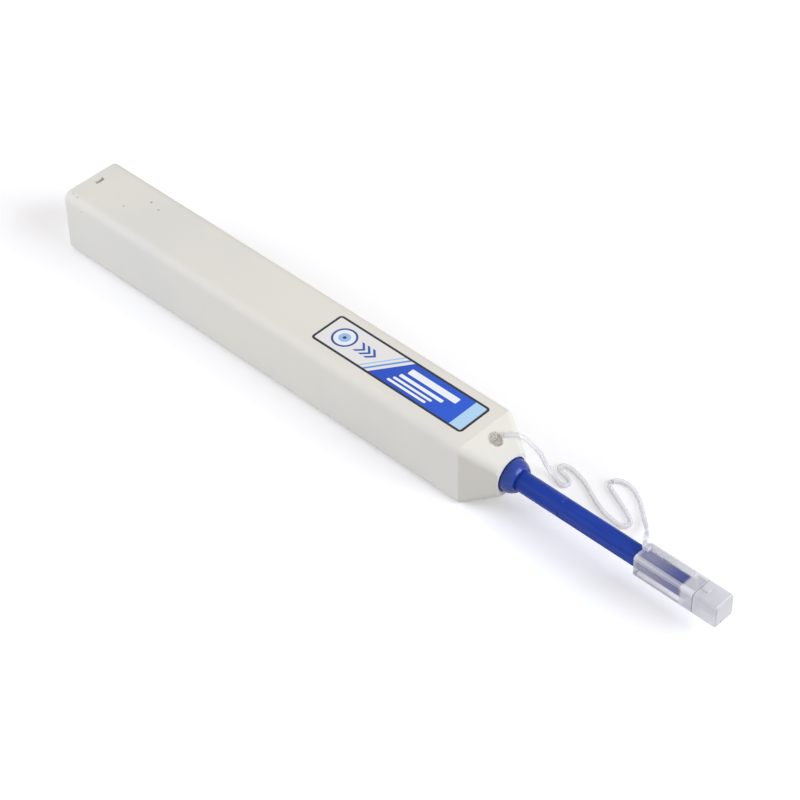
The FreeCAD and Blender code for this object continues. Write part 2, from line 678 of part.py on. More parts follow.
# ---------------------------------------------------------------- cleaning head
def cam_groove():
    """The helical groove that the case's pin follows.

    The pin stands over the axis at rest.  As it travels the stroke towards +X along the drum,
    the drum turns CAM_TURN degrees about +X.
    """
    lead = STROKE * 360.0 / CAM_TURN
    overrun = 1.2
    length = STROKE + 2 * overrun
    radius = DRUM_R - CAM_DEPTH
    helix = Part.makeHelix(lead, length, radius, 0, True)
    helix = Part.Wire(helix.Edges)
    half = CAM_GROOVE / 2
    profile = Part.makePolygon([V(radius, 0, -half), V(DRUM_R + 1, 0, -half),
                                V(DRUM_R + 1, 0, half), V(radius, 0, half), V(radius, 0, -half)])
    groove = helix.makePipeShell([profile], True, True)
    turned_before = CAM_TURN * overrun / STROKE
    # from the helix's own frame (axis Z, start on +X) to the pen's axis, start on top
    groove.rotate(V(0, 0, 0), V(0, 1, 0), 90)
    groove.rotate(V(0, 0, 0), V(1, 0, 0), 180 + turned_before)
    groove.translate(V(CAM_PIN_X - overrun, 0, AXIS_Z))
    return groove


def cam_spindle():
    spindle = fused([rod_x(SPINDLE_X0, DRUM_X0, JOURNAL_REAR_R),
                     rod_x(DRUM_X0, DRUM_X1, DRUM_R),
                     rod_x(DRUM_X1, FRONT_WALL_X0 + CROSS_WALL, JOURNAL_FRONT_R)])
    spindle = spindle.cut(rod_x(SPINDLE_X0 - 1, FRONT_WALL_X0 + 3, ROD_R))
    # a slot through the bore for the two threads
    thread_half = THREAD_OUT + THREAD_R + 0.07
    spindle = spindle.cut(box(SPINDLE_X0 - 1, FRONT_WALL_X0 + 3, -0.3, 0.3,
                              AXIS_Z - thread_half, AXIS_Z + thread_half))
    return spindle.cut(cam_groove())


def head_rod():
    return rod_x(SPINDLE_X0, ROD_END, ROD_R)


def cleaning_tip():
    """A slim blade, round across the thread, that presses the thread on the ferrule."""
    collar = rod_x(ROD_END, ROD_END + 1.5, ROD_R)
    blade = rod_x(ROD_END + 1.3, TIP_END, 0.6)
    blade = blade.common(box(ROD_END, TIP_END + 1, -1, 1, AXIS_Z - TIP_HALF, AXIS_Z + TIP_HALF))
    return fused([collar, blade])


def rod_thread():
    """The thread along both sides of the rod and over the tip."""
    out = THREAD_OUT
    near = TIP_HALF + THREAD_R + 0.04
    end = TIP_END + THREAD_R + 0.08
    going = [(SPINDLE_X0, out), (TUBE_END - 4.6, out), (TUBE_END - 2.6, near), (end, near)]
    route = [V(x, 0, AXIS_Z - away) for x, away in going]
    route += [V(x, 0, AXIS_Z + away) for x, away in reversed(going)]
    return tube_along(route, THREAD_R, 0.3)[0]


# ---------------------------------------------------------------- guide cap
def hinge_leaf(x0):
    """One leaf of the film hinge, on the side wall."""
    half = CAP_SIZE / 2
    return box(x0, x0 + LEAF_LENGTH, half - 0.1, half + 0.25, AXIS_Z - LEAF_HALF, AXIS_Z + LEAF_HALF)


def guide_cap():
    half = CAP_SIZE / 2
    top = AXIS_Z + half
    body = square_bar(CAP_REAR, CAP_FRONT, half, CAP_EDGE_R)
    # the strap's foot on the top rear rim, and the stub where the strap joins it
    foot = box(CAP_REAR, CAP_REAR + 1.4, FOOT_Y - 0.65, FOOT_Y + 0.65, top - 0.2, top + 1.3)
    before, end = strap_route()[-2:]
    stub_axis = (end - before).normalize()
    stub = Part.makeCylinder(STRAP_DIAMETER / 2, 1.5, end + stub_axis * 0.02, stub_axis)
    body = fused([body, foot, hinge_leaf(CAP_FRONT - LEAF_LENGTH), stub])
    # bore: the nozzle's flats and its rounded corners, with running clearance
    bore_half = TUBE_FLATS / 2 + GAP
    bore = rod_x(CAP_REAR - 1, TUBE_END + 0.3, TUBE_R + GAP)
    bore = bore.common(box(CAP_REAR - 1, TUBE_END + 0.3, -bore_half, bore_half,
                           AXIS_Z - bore_half, AXIS_Z + bore_half))
    body = body.cut(bore)
    body = body.cut(rod_x(TUBE_END, CAP_FRONT + 1, FERRULE_R))
    # moulded mark in the top
    mark_x = CAP_REAR + 4.9
    body = body.cut(box(mark_x, mark_x + 2.0, 0.3, 0.9, top - 0.3, top + 1))
    return body.removeSplitter()


def cap_lid():
    half = CAP_SIZE / 2
    x0 = CAP_FRONT + LID_GAP
    lid = square_bar(x0, X_FRONT, half, CAP_EDGE_R)
    end_edges = [e for e in lid.Edges if e.BoundBox.XMin > X_FRONT - 0.01]
    lid = lid.makeChamfer(0.35, end_edges)
    tab = box(x0 + 0.5, x0 + 2.1, -0.7, 0.7, AXIS_Z + half - 0.2, AXIS_Z + half + 0.35)
    lid = fused([lid, tab, hinge_leaf(x0)])
    return lid.cut(rod_x(x0 - 1, X_FRONT - 1.2, 2.2))


# ---------------------------------------------------------------- build
PARTS = {
    "case_shell": case_shell, "base_cover": base_cover, "label": label, "drive_rack": drive_rack,
    "cam_pin": cam_pin, "strap_plug": strap_plug, "strap": strap,
    "chassis": chassis, "chassis_cover": chassis_cover, "nozzle_retainer": nozzle_retainer,
    "nozzle_tube": nozzle_tube, "nozzle_collar": nozzle_collar, "rod_guide": rod_guide,
    "guide_pins": guide_pins, "thread_feed": thread_feed, "thread_return": thread_return,
    "return_spring": return_spring, "head_spring": head_spring, "reel_brakes": reel_brakes,
    "supply_reel": supply_reel,
    "supply_winding": supply_winding,
    "takeup_reel": takeup_reel,
    "takeup_winding": takeup_winding,
    "takeup_pinion": takeup_pinion, "cam_spindle": cam_spindle, "head_rod": head_rod,
    "cleaning_tip": cleaning_tip, "rod_thread": rod_thread,
    "guide_cap": guide_cap, "cap_lid": cap_lid,
}

os.makedirs("parts", exist_ok=True)
for name, make in PARTS.items():
    shape = make()
    if not shape.isValid() or not shape.Solids:
        print("CHECK", name, "valid", shape.isValid(), "solids", len(shape.Solids))
    shape.exportStep("parts/%s.step" % name)
    extent = shape.BoundBox
    print("%-16s %9.2f mm3  x %7.2f..%7.2f  y %6.2f..%6.2f  z %6.2f..%6.2f"
          % (name, shape.Volume, extent.XMin, extent.XMax, extent.YMin, extent.YMax,
             extent.ZMin, extent.ZMax))
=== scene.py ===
"""Looks of the fibre connector cleaning pen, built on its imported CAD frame, in metres."""
import json
import math

import bmesh
import bpy
from mathutils import Matrix, Vector
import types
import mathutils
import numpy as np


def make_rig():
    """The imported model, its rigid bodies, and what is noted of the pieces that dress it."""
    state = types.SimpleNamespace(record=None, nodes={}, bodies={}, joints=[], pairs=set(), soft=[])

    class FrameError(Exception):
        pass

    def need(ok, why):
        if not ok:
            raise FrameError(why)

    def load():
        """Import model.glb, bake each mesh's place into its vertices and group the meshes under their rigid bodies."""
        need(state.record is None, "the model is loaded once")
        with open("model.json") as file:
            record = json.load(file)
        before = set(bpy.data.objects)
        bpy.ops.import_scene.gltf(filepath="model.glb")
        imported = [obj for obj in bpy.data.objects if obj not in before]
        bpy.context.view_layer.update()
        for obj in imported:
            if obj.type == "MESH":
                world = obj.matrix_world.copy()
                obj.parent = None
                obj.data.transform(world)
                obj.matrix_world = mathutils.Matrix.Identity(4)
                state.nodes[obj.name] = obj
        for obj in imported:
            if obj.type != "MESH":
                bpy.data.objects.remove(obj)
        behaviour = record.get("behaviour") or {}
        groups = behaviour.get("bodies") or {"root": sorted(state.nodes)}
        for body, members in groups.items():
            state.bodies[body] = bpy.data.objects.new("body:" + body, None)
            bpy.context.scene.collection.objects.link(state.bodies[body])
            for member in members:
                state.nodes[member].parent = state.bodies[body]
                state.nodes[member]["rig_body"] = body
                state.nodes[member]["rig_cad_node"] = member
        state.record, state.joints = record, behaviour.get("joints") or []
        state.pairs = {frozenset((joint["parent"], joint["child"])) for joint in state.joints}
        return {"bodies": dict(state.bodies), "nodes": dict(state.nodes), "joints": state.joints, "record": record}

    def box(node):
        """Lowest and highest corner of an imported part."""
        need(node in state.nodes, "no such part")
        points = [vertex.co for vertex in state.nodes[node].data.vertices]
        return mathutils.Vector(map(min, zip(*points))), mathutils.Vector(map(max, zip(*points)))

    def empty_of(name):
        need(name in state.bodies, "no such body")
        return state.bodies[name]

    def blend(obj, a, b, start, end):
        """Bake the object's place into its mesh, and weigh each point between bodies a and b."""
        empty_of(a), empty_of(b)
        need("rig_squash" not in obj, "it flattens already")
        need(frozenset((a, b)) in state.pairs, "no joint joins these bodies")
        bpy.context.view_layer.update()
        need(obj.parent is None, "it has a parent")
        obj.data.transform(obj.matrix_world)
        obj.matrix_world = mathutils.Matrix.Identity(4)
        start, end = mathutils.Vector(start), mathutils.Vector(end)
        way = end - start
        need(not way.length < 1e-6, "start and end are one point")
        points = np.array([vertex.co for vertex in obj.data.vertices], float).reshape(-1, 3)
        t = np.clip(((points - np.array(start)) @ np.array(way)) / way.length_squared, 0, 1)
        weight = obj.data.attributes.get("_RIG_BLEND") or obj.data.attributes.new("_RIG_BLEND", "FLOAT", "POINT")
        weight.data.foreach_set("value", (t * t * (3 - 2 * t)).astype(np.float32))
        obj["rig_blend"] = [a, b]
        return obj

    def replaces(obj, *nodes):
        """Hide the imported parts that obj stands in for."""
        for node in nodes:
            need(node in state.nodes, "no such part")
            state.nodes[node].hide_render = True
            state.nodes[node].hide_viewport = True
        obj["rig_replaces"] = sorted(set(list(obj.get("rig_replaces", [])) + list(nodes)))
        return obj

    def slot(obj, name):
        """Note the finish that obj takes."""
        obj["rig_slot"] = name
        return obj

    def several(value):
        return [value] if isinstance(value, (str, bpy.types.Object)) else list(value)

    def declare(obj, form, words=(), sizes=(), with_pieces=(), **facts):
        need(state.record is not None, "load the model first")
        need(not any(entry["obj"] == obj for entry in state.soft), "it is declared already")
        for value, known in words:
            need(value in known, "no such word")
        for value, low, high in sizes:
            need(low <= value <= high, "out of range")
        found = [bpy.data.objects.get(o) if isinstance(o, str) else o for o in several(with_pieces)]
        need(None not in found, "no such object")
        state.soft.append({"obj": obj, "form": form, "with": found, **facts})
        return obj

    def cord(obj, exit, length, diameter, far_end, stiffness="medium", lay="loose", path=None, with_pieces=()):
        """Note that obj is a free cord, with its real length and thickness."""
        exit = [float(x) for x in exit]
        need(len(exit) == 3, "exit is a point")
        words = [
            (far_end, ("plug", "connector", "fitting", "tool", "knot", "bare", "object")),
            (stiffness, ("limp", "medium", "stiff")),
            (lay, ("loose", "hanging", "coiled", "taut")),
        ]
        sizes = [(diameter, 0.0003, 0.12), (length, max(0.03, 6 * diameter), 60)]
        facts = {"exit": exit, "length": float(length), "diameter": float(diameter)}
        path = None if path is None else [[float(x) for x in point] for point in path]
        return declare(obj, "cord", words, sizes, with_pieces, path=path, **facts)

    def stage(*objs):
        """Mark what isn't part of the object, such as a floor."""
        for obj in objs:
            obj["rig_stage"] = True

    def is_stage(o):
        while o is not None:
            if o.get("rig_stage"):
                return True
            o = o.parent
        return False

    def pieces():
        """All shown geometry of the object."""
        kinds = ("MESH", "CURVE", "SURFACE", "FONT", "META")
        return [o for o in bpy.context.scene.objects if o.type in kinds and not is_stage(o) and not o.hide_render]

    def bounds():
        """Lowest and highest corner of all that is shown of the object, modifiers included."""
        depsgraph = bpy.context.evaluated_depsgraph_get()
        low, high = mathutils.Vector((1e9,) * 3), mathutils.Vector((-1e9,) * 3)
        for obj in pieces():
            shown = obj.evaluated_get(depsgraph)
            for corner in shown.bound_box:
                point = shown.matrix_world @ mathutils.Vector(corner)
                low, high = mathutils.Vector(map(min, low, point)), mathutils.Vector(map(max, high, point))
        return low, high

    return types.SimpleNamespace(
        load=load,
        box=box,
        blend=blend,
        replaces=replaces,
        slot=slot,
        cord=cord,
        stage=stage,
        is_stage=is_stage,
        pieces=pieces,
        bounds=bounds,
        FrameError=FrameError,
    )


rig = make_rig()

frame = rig.load()
cad_low, cad_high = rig.bounds()
MM = 0.001

# ------------------------------------------------------------------ camera
# A long lens looks down on the pen from its cap end, so that the top, the near side and the
# nose all show.
VIEW_TARGET = Vector((-1.19, 7.35, 0.0)) * MM
VIEW_AZIMUTH = math.radians(44.15)
VIEW_ELEVATION = math.radians(43.46)
VIEW_ROLL = math.radians(-0.92)
VIEW_DISTANCE = 601.4 * MM

camera_data = bpy.data.cameras.new("camera")
camera_data.lens = 114.96
camera_data.sensor_width = 36.0
camera_data.clip_start = 0.01
camera_data.clip_end = 20.0
camera = bpy.data.objects.new("camera", camera_data)
bpy.context.scene.collection.objects.link(camera)
view_turn = (Matrix.Rotation(VIEW_AZIMUTH, 4, "Z")
             @ Matrix.Rotation(math.pi / 2 - VIEW_ELEVATION, 4, "X")
             @ Matrix.Rotation(VIEW_ROLL, 4, "Z"))
view_place = VIEW_TARGET + view_turn.to_3x3() @ Vector((0, 0, VIEW_DISTANCE))
camera.matrix_world = Matrix.Translation(view_place) @ view_turn
bpy.context.scene.camera = camera
bpy.context.scene.view_settings.view_transform = "Standard"

# ------------------------------------------------------------------ tether strap
# A round cord of clear soft vinyl, moulded in one with the plug in the nose and the foot on the
# guide cap.  It drops to the table, lies there in slack folds and rises to the cap's rear edge.
STRAP_DIAMETER = 1.15 * MM
STRAP_LIE = 0.6         # height of its centre where it lies on the table
NOSE_X = 32.25          # where the case's nose starts, the route's own zero
STRAP_ROUTE = [
    (3.75, 2.0, 17.0), (4.6, 3.5, 16.7), (5.4, 5.3, 15.7), (6.3, 7.0, 13.7),
    (7.3, 8.5, 11.0), (7.9, 10.1, 8.0), (8.2, 11.1, 5.1), (8.2, 12.2, 2.6),
    (9.3, 12.7, 0.8), (11.0, 12.0, STRAP_LIE), (13.1, 11.3, STRAP_LIE), (14.2, 12.1, STRAP_LIE),
    (14.1, 13.5, STRAP_LIE), (12.2, 14.3, STRAP_LIE), (9.7, 14.6, STRAP_LIE), (9.0, 15.8, STRAP_LIE),
    (9.8, 16.9, STRAP_LIE), (12.0, 16.9, STRAP_LIE), (14.9, 16.2, STRAP_LIE), (17.8, 15.1, STRAP_LIE),
    (20.7, 13.5, STRAP_LIE), (23.6, 12.2, STRAP_LIE), (26.2, 11.2, STRAP_LIE), (28.7, 10.9, STRAP_LIE),
    (31.1, 10.5, STRAP_LIE), (32.4, 11.5, STRAP_LIE), (32.3, 13.1, STRAP_LIE), (30.4, 14.4, STRAP_LIE),
    (27.8, 15.6, STRAP_LIE), (25.3, 16.8, STRAP_LIE), (23.1, 17.7, STRAP_LIE), (21.3, 18.5, STRAP_LIE),
    (20.8, 20.0, STRAP_LIE), (21.7, 21.3, STRAP_LIE), (23.5, 21.9, STRAP_LIE), (25.8, 21.6, STRAP_LIE),
    (28.5, 20.3, STRAP_LIE), (31.1, 18.3, STRAP_LIE), (33.8, 15.9, STRAP_LIE), (36.2, 13.6, 1.9),
    (38.5, 10.9, 4.3), (40.4, 8.5, 7.3), (42.0, 6.2, 10.2), (43.4, 4.2, 12.2),
    (44.5, 2.5, 13.0), (45.2, 1.45, 12.85)]
LEAVING_POINT = 4       # the route's points where it leaves the nose, and where its halves meet
MIDDLE_POINT = 33


class Value:
    """A node's output that takes part in arithmetic."""

    def __init__(self, finish, socket):
        self.finish = finish
        self.socket = socket

    def maths(self, operation, *values):
        return self.finish.node("ShaderNodeMath", {"operation": operation}, dict(enumerate(values)))

    def __add__(self, other):
        return self.maths("ADD", self, other)

    __radd__ = __add__

    def __sub__(self, other):
        return self.maths("SUBTRACT", self, other)

    def __rsub__(self, other):
        return self.maths("SUBTRACT", other, self)

    def __mul__(self, other):
        return self.maths("MULTIPLY", self, other)

    __rmul__ = __mul__

    def __truediv__(self, other):
        return self.maths("DIVIDE", self, other)

    def __abs__(self):
        return self.maths("ABSOLUTE", self)

    def rise(self, low, high):
        """0 below low, 1 above high, smooth between."""
        return self.finish.node("ShaderNodeMapRange", {"interpolation_type": "SMOOTHSTEP"},
                                {"Value": self, "From Min": low, "From Max": high})


class Nodes:
    """A node tree, and the one method that adds to it."""

    def __init__(self, tree):
        self.tree = tree

    def node(self, kind, settings=None, values=None, out=0):
        node = self.tree.nodes.new(kind)
        for name, setting in (settings or {}).items():
            setattr(node, name, setting)
        for key, value in (values or {}).items():
            if isinstance(value, Value):
                self.tree.links.new(value.socket, node.inputs[key])
            else:
                node.inputs[key].default_value = value
        return Value(self, node.outputs[out])


class Finish(Nodes):
    """A material's nodes."""

    def __init__(self, name, **constants):
        self.material = bpy.data.materials.new(name)
        self.material.use_nodes = True
        super().__init__(self.material.node_tree)
        self.shader = self.tree.nodes["Principled BSDF"]
        for socket, value in constants.items():
            self.shader.inputs[socket.replace("_", " ")].default_value = value
        self.place = self.node("ShaderNodeTexCoord", out="Object")

    def feed(self, socket, value):
        self.tree.links.new(value.socket, self.shader.inputs[socket])

    def noise(self, grain, detail=2.0, place=None):
        """Noise whose lumps are about grain millimetres across."""
        return self.node("ShaderNodeTexNoise", {},
                         {"Vector": place or self.place, "Scale": 1 / (grain * MM), "Detail": detail})

    def blend(self, share, first, second):
        """One colour turning into another; a colour is sRGB from 0 to 255, or a Value."""
        ends = [c if isinstance(c, Value) else (*srgb(*c), 1.0) for c in (first, second)]
        return self.node("ShaderNodeMix", {"data_type": "RGBA"},
                         {0: share, 6: ends[0], 7: ends[1]}, 2)

    def bump(self, height, depth, strength=1.0):
        """Feed the surface's relief, depth millimetres deep."""
        relief = self.node("ShaderNodeBump", {}, {"Height": height, "Distance": depth * MM,
                                                  "Strength": strength})
        self.feed("Normal", relief)


def srgb(*levels):
    """Linear colour from levels of 0 to 255."""
    return tuple(((v / 255 + 0.055) / 1.055) ** 2.4 if v > 10 else v / 255 / 12.92 for v in levels)


def clear_plastic(name, film, rim, roughness, **constants):
    """Clear plastic, a little milky: film is how much one face hides, rim how much it gains
    where it turns away from the eye.  Returns the finish, its cloudiness and that share."""
    finish = Finish(name, IOR=1.46, **constants)
    cloud = finish.noise(3.0)
    finish.feed("Roughness", cloud * 0.12 + roughness)
    finish.bump(finish.noise(1.2), 0.004, 0.15)
    facing = finish.node("ShaderNodeLayerWeight", {}, {"Blend": 0.5}, "Facing")
    return finish, cloud, facing * facing * facing * rim + film


def strap_line():
    """Points along the strap's smooth centre line, read from its spline."""
    curve = bpy.data.curves.new("strap_line", "CURVE")
    curve.dimensions = "3D"
    spline = curve.splines.new("NURBS")
    spline.points.add(len(STRAP_ROUTE) - 1)
    for point, (x, y, z) in zip(spline.points, STRAP_ROUTE):
        point.co = ((x + NOSE_X) * MM, y * MM, z * MM, 1.0)
    spline.order_u = 3
    spline.use_endpoint_u = True
    curve.resolution_u = 8
    carrier = bpy.data.objects.new("strap_line", curve)
    bpy.context.scene.collection.objects.link(carrier)
    bpy.context.view_layer.update()
    evaluated = carrier.evaluated_get(bpy.context.evaluated_depsgraph_get())
    line = bpy.data.meshes.new_from_object(evaluated)
    points = [v.co.copy() for v in line.vertices]
    bpy.data.objects.remove(carrier)
    return points


def tube_piece(name, points, radius, sides=16):
    """A closed round tube along a line of points."""
    tube = bmesh.new()
    rings = []
    normal = (points[1] - points[0]).orthogonal()
    for index, point in enumerate(points):
        before = points[max(index - 1, 0)]
        after = points[min(index + 1, len(points) - 1)]
        along = (after - before).normalized()
        normal = (normal - along * normal.dot(along)).normalized()
        turn = Matrix((along.cross(normal), normal, along)).transposed().to_4x4()
        ring = bmesh.ops.create_circle(tube, cap_ends=False, radius=radius, segments=sides,
                                       matrix=Matrix.Translation(point) @ turn)["verts"]
        rings.append({edge for v in ring for edge in v.link_edges})
    for ring, beyond in zip(rings, rings[1:]):
        bmesh.ops.bridge_loops(tube, edges=sorted(ring | beyond, key=lambda edge: edge.index))
    for ring in (rings[0], rings[-1]):
        bmesh.ops.contextual_create(tube, geom=sorted(ring, key=lambda edge: edge.index))
    bmesh.ops.recalc_face_normals(tube, faces=tube.faces)
    mesh = bpy.data.meshes.new(name)
    tube.to_mesh(mesh)
    tube.free()
    mesh.shade_smooth()
    piece = bpy.data.objects.new(name, mesh)
    bpy.context.scene.collection.objects.link(piece)
    return piece


def run_length(points):
    return sum((after - before).length for before, after in zip(points, points[1:]))


strap_finish, strap_cloud, strap_hides = clear_plastic("strap_vinyl", 0.2, 1.5, 0.1)
strap_finish.feed("Base Color", strap_finish.blend(strap_cloud, (222, 222, 226), (232, 232, 235)))
strap_finish.feed("Alpha", strap_hides)
line = strap_line()
half_way = len(line) * MIDDLE_POINT // len(STRAP_ROUTE)
strap_halves = {"strap_nose_half": line[:half_way + 1], "strap_cap_half": line[half_way:]}
for name, part in strap_halves.items():
    piece = tube_piece(name, part, STRAP_DIAMETER / 2)
    piece.data.materials.append(strap_finish.material)
    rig.replaces(piece, "strap")
    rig.slot(piece, "clear_strap")
    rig.cord(piece, exit=part[0], length=run_length(part), diameter=STRAP_DIAMETER,
            far_end="object", stiffness="limp", lay="loose", path=part)
# the stroke is shared out from where the strap leaves the nose, so that no one fold takes it all
off_nose = line[len(line) * LEAVING_POINT // len(STRAP_ROUTE)]
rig.blend(bpy.data.objects["strap_nose_half"], "case", "nozzle", start=off_nose, end=line[half_way])
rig.blend(bpy.data.objects["strap_cap_half"], "nozzle", "cap", start=line[half_way], end=line[-1])


# ------------------------------------------------------------------ strap plug
# A button of the strap's own vinyl.  Its split stem is pushed into a hole in the nose, and shows
# dark through the clear head.
def dress(finish, *nodes):
    """Give CAD nodes a finish through their own material slots."""
    for node in nodes:
        for slot in frame["nodes"][node].material_slots:
            slot.material = finish.material


# the head is a clear lens; the stem's four prongs, below the nose's sloping face, scatter more
PLUG_SEAT = (35.35, 0.3, 16.334)
NOSE_NORMAL = (0.4735, 0.0, 0.8808)
plug_finish, plug_cloud, plug_hides = clear_plastic("plug_vinyl", 0.12, 1.6, 0.08, Emission_Strength=1.0)
plug_finish.feed("Base Color", plug_finish.blend(plug_cloud, (232, 230, 225), (244, 242, 238)))
from_seat = plug_finish.node("ShaderNodeVectorMath", {"operation": "SUBTRACT"},
                             {0: plug_finish.place, 1: [v * MM for v in PLUG_SEAT]})
proud = plug_finish.node("ShaderNodeVectorMath", {"operation": "DOT_PRODUCT"},
                         {0: from_seat, 1: NOSE_NORMAL}, "Value") * (1 / MM)
stem = 1 - proud.rise(-0.7, -0.35)
plug_finish.feed("Alpha", (plug_hides + stem * 0.45) * (stem + proud.rise(0.0, 0.05)))
# the stem glows faintly through its emission: painted light, standing in for the light that reaches the prongs through
# the clear head
plug_finish.feed("Emission Color", plug_finish.blend(stem, (0, 0, 0), (84, 83, 80)))
dress(plug_finish, "strap_plug")

# ------------------------------------------------------------------ case
# The square barrel that the hand pushes: injection-moulded ivory ABS with a fine spark-eroded
# grain.  Its rear end has picked up a few dark specks.
SPECKS = ((-85.3, -2.2, 18.0, 0.30), (-81.3, 3.4, 18.0, 0.36), (-77.9, 2.6, 18.0, 0.30),
          (-98.2, -7.4, 18.0, 0.22), (-96.3, -7.6, 17.9, 0.22), (-93.6, -9.0, 15.6, 0.2))


def away_from(finish, *spot):
    """Distance from a spot given in millimetres."""
    return finish.node("ShaderNodeVectorMath", {"operation": "DISTANCE"},
                       {0: finish.place, 1: [v * MM for v in spot]}, "Value")


case_finish = Finish("ivory_abs", Specular_IOR_Level=0.2)
patches = case_finish.noise(28)
case_colour = case_finish.blend(patches.rise(0.35, 0.7), (229, 226, 214), (224, 222, 213))
for x, y, z, radius in SPECKS:
    ragged = away_from(case_finish, x, y, z) + case_finish.noise(0.3) * (0.3 * radius * MM)
    speck = 1 - ragged.rise(0.5 * radius * MM, 1.2 * radius * MM)
    case_colour = case_finish.blend(speck * 0.75, case_colour, (92, 88, 84))
case_finish.feed("Base Color", case_colour)
case_finish.feed("Roughness", case_finish.noise(6) * 0.1 + 0.55)
case_finish.bump(case_finish.noise(0.12), 0.006, 0.25)
dress(case_finish, "case_shell")

# ------------------------------------------------------------------ base cover
# The long plate that snaps into the case's open underside, in a slightly whiter ABS, with the
# same grain.
cover_finish = Finish("cover_abs", Specular_IOR_Level=0.4)
cover_finish.feed("Base Color", cover_finish.blend(cover_finish.noise(20), (226, 225, 217),
                                                   (219, 218, 212)))
cover_finish.feed("Roughness", cover_finish.noise(5) * 0.1 + 0.4)
cover_finish.bump(cover_finish.noise(0.12), 0.006, 0.3)
dress(cover_finish, "base_cover")

# ------------------------------------------------------------------ label
# A printed and clear-coated film in a shallow recess of the case's top: a black rule round a
# pale field and a blue field, with plain bars and a fibre's end face as a sign.
LABEL_MID = (5.65, 0.25)
LABEL_HALF = (23.5, 5.15)
LABEL_CORNER = 1.0
BORDER = 3.0    # where the slanted blue field starts
RULE = 0.6      # how wide the black rule is
SOFT = 0.05     # how far a printed edge spreads


def millimetres(finish, axis):
    """Place along an axis, in millimetres."""
    return finish.node("ShaderNodeSeparateXYZ", {}, {0: finish.place}, axis) * (1 / MM)


def inside_box(x, y, mid, half, corner):
    """Distance from a rounded box's edge, negative inside it, in the units of x and y."""
    beyond_x = abs(x - mid[0]) - (half[0] - corner)
    beyond_y = abs(y - mid[1]) - (half[1] - corner)
    out_x = beyond_x.maths("MAXIMUM", beyond_x, 0.0)
    out_y = beyond_y.maths("MAXIMUM", beyond_y, 0.0)
    outside = out_x.maths("SQRT", out_x * out_x + out_y * out_y)
    deepest = beyond_x.maths("MAXIMUM", beyond_x, beyond_y)
    return outside + deepest.maths("MINIMUM", deepest, 0.0) - corner


def printed(distance):
    """1 where a printed shape covers, from the distance to its edge."""
    return 1 - distance.rise(-SOFT, SOFT)


def disc_edge(x, y, mid, radius):
    off_x, off_y = x - mid[0], y - mid[1]
    return off_x.maths("SQRT", off_x * off_x + off_y * off_y) - radius


label_finish = Finish("label_print", Specular_IOR_Level=0.35, Coat_Weight=0.15,
                      Coat_Roughness=0.12)
label_x, label_y = millimetres(label_finish, 0), millimetres(label_finish, 1)
slant = label_x - label_y * 0.7
front_field = slant.rise(BORDER - SOFT, BORDER + SOFT)
ink = label_finish.blend((label_x - BORDER).rise(0, 26), (12, 74, 190), (18, 86, 206))
label_colour = label_finish.blend(front_field, (232, 230, 226), ink)
# two slanted pinstripes beside the fields' border, and a pale band at the front end
for left, right, tint in ((1.2, 1.9, (90, 150, 215)), (-0.2, 0.2, (150, 190, 230))):
    stripe = slant.rise(left - SOFT, left + SOFT) * (1 - slant.rise(right - SOFT, right + SOFT))
    label_colour = label_finish.blend(stripe, label_colour, tint)
end_band = label_x.rise(25.2 - SOFT, 25.2 + SOFT)
label_colour = label_finish.blend(end_band, label_colour, (176, 214, 238))
# bars of three weights on the blue field
for mid, half in (((14.6, 2.2), (7.4, 0.95)), ((12.9, -0.2), (6.6, 0.5)),
                  ((11.6, -1.75), (5.9, 0.35)), ((10.9, -3.05), (5.9, 0.35))):
    bar = printed(inside_box(label_x, label_y, mid, half, 0.3))
    label_colour = label_finish.blend(bar, label_colour, (240, 243, 246))
# the sign: a ferrule's end face, its core, and three chevrons towards the connector
SIGN = (-11.8, 0.25)
for radius, tint in ((3.2, (30, 72, 150)), (2.65, (236, 239, 241)), (1.5, (150, 190, 230)),
                     (0.45, (24, 40, 92))):
    label_colour = label_finish.blend(printed(disc_edge(label_x, label_y, SIGN, radius)),
                                      label_colour, tint)
for step in range(3):
    lean = label_x + abs(label_y - SIGN[1]) - (-5.6 + 1.7 * step)
    arm = inside_box(lean, label_y, (0.0, SIGN[1]), (0.42, 1.7), 0.05)
    label_colour = label_finish.blend(printed(arm), label_colour, (40, 86, 170))
rule = inside_box(label_x, label_y, LABEL_MID, LABEL_HALF, LABEL_CORNER)
rule = rule.rise(-RULE - SOFT, -RULE + SOFT)
label_colour = label_finish.blend(rule, label_colour, (22, 26, 34))
label_finish.feed("Base Color", label_colour)
label_finish.feed("Roughness", label_finish.noise(3) * 0.08 + 0.3)
label_finish.bump(label_finish.noise(1.4), 0.008, 0.3)
dress(label_finish, "label")


# ------------------------------------------------------------------ nozzle
# The tube that enters an adapter, the domed collar at its root and the fork that holds both:
# blue acetal, satin from the mould, with faint flow marks along the tube.
def moulded_blue(name, deep, light, roughness, gloss):
    finish = Finish(name, Specular_IOR_Level=gloss)
    stretched = finish.node("ShaderNodeVectorMath", {"operation": "MULTIPLY"},
                            {0: finish.place, 1: (0.12, 1.0, 1.0)})
    flow = finish.noise(0.9, 3.0, stretched)
    finish.feed("Base Color", finish.blend(flow.rise(0.3, 0.75), deep, light))
    finish.feed("Roughness", finish.noise(2.5) * 0.14 + roughness)
    finish.bump(flow, 0.012, 0.3)
    return finish


dress(moulded_blue("nozzle_acetal", (15, 52, 146), (21, 60, 158), 0.3, 0.2), "nozzle_tube")
dress(moulded_blue("collar_acetal", (18, 52, 142), (26, 60, 154), 0.2, 0.5),
      "nozzle_collar", "nozzle_retainer")

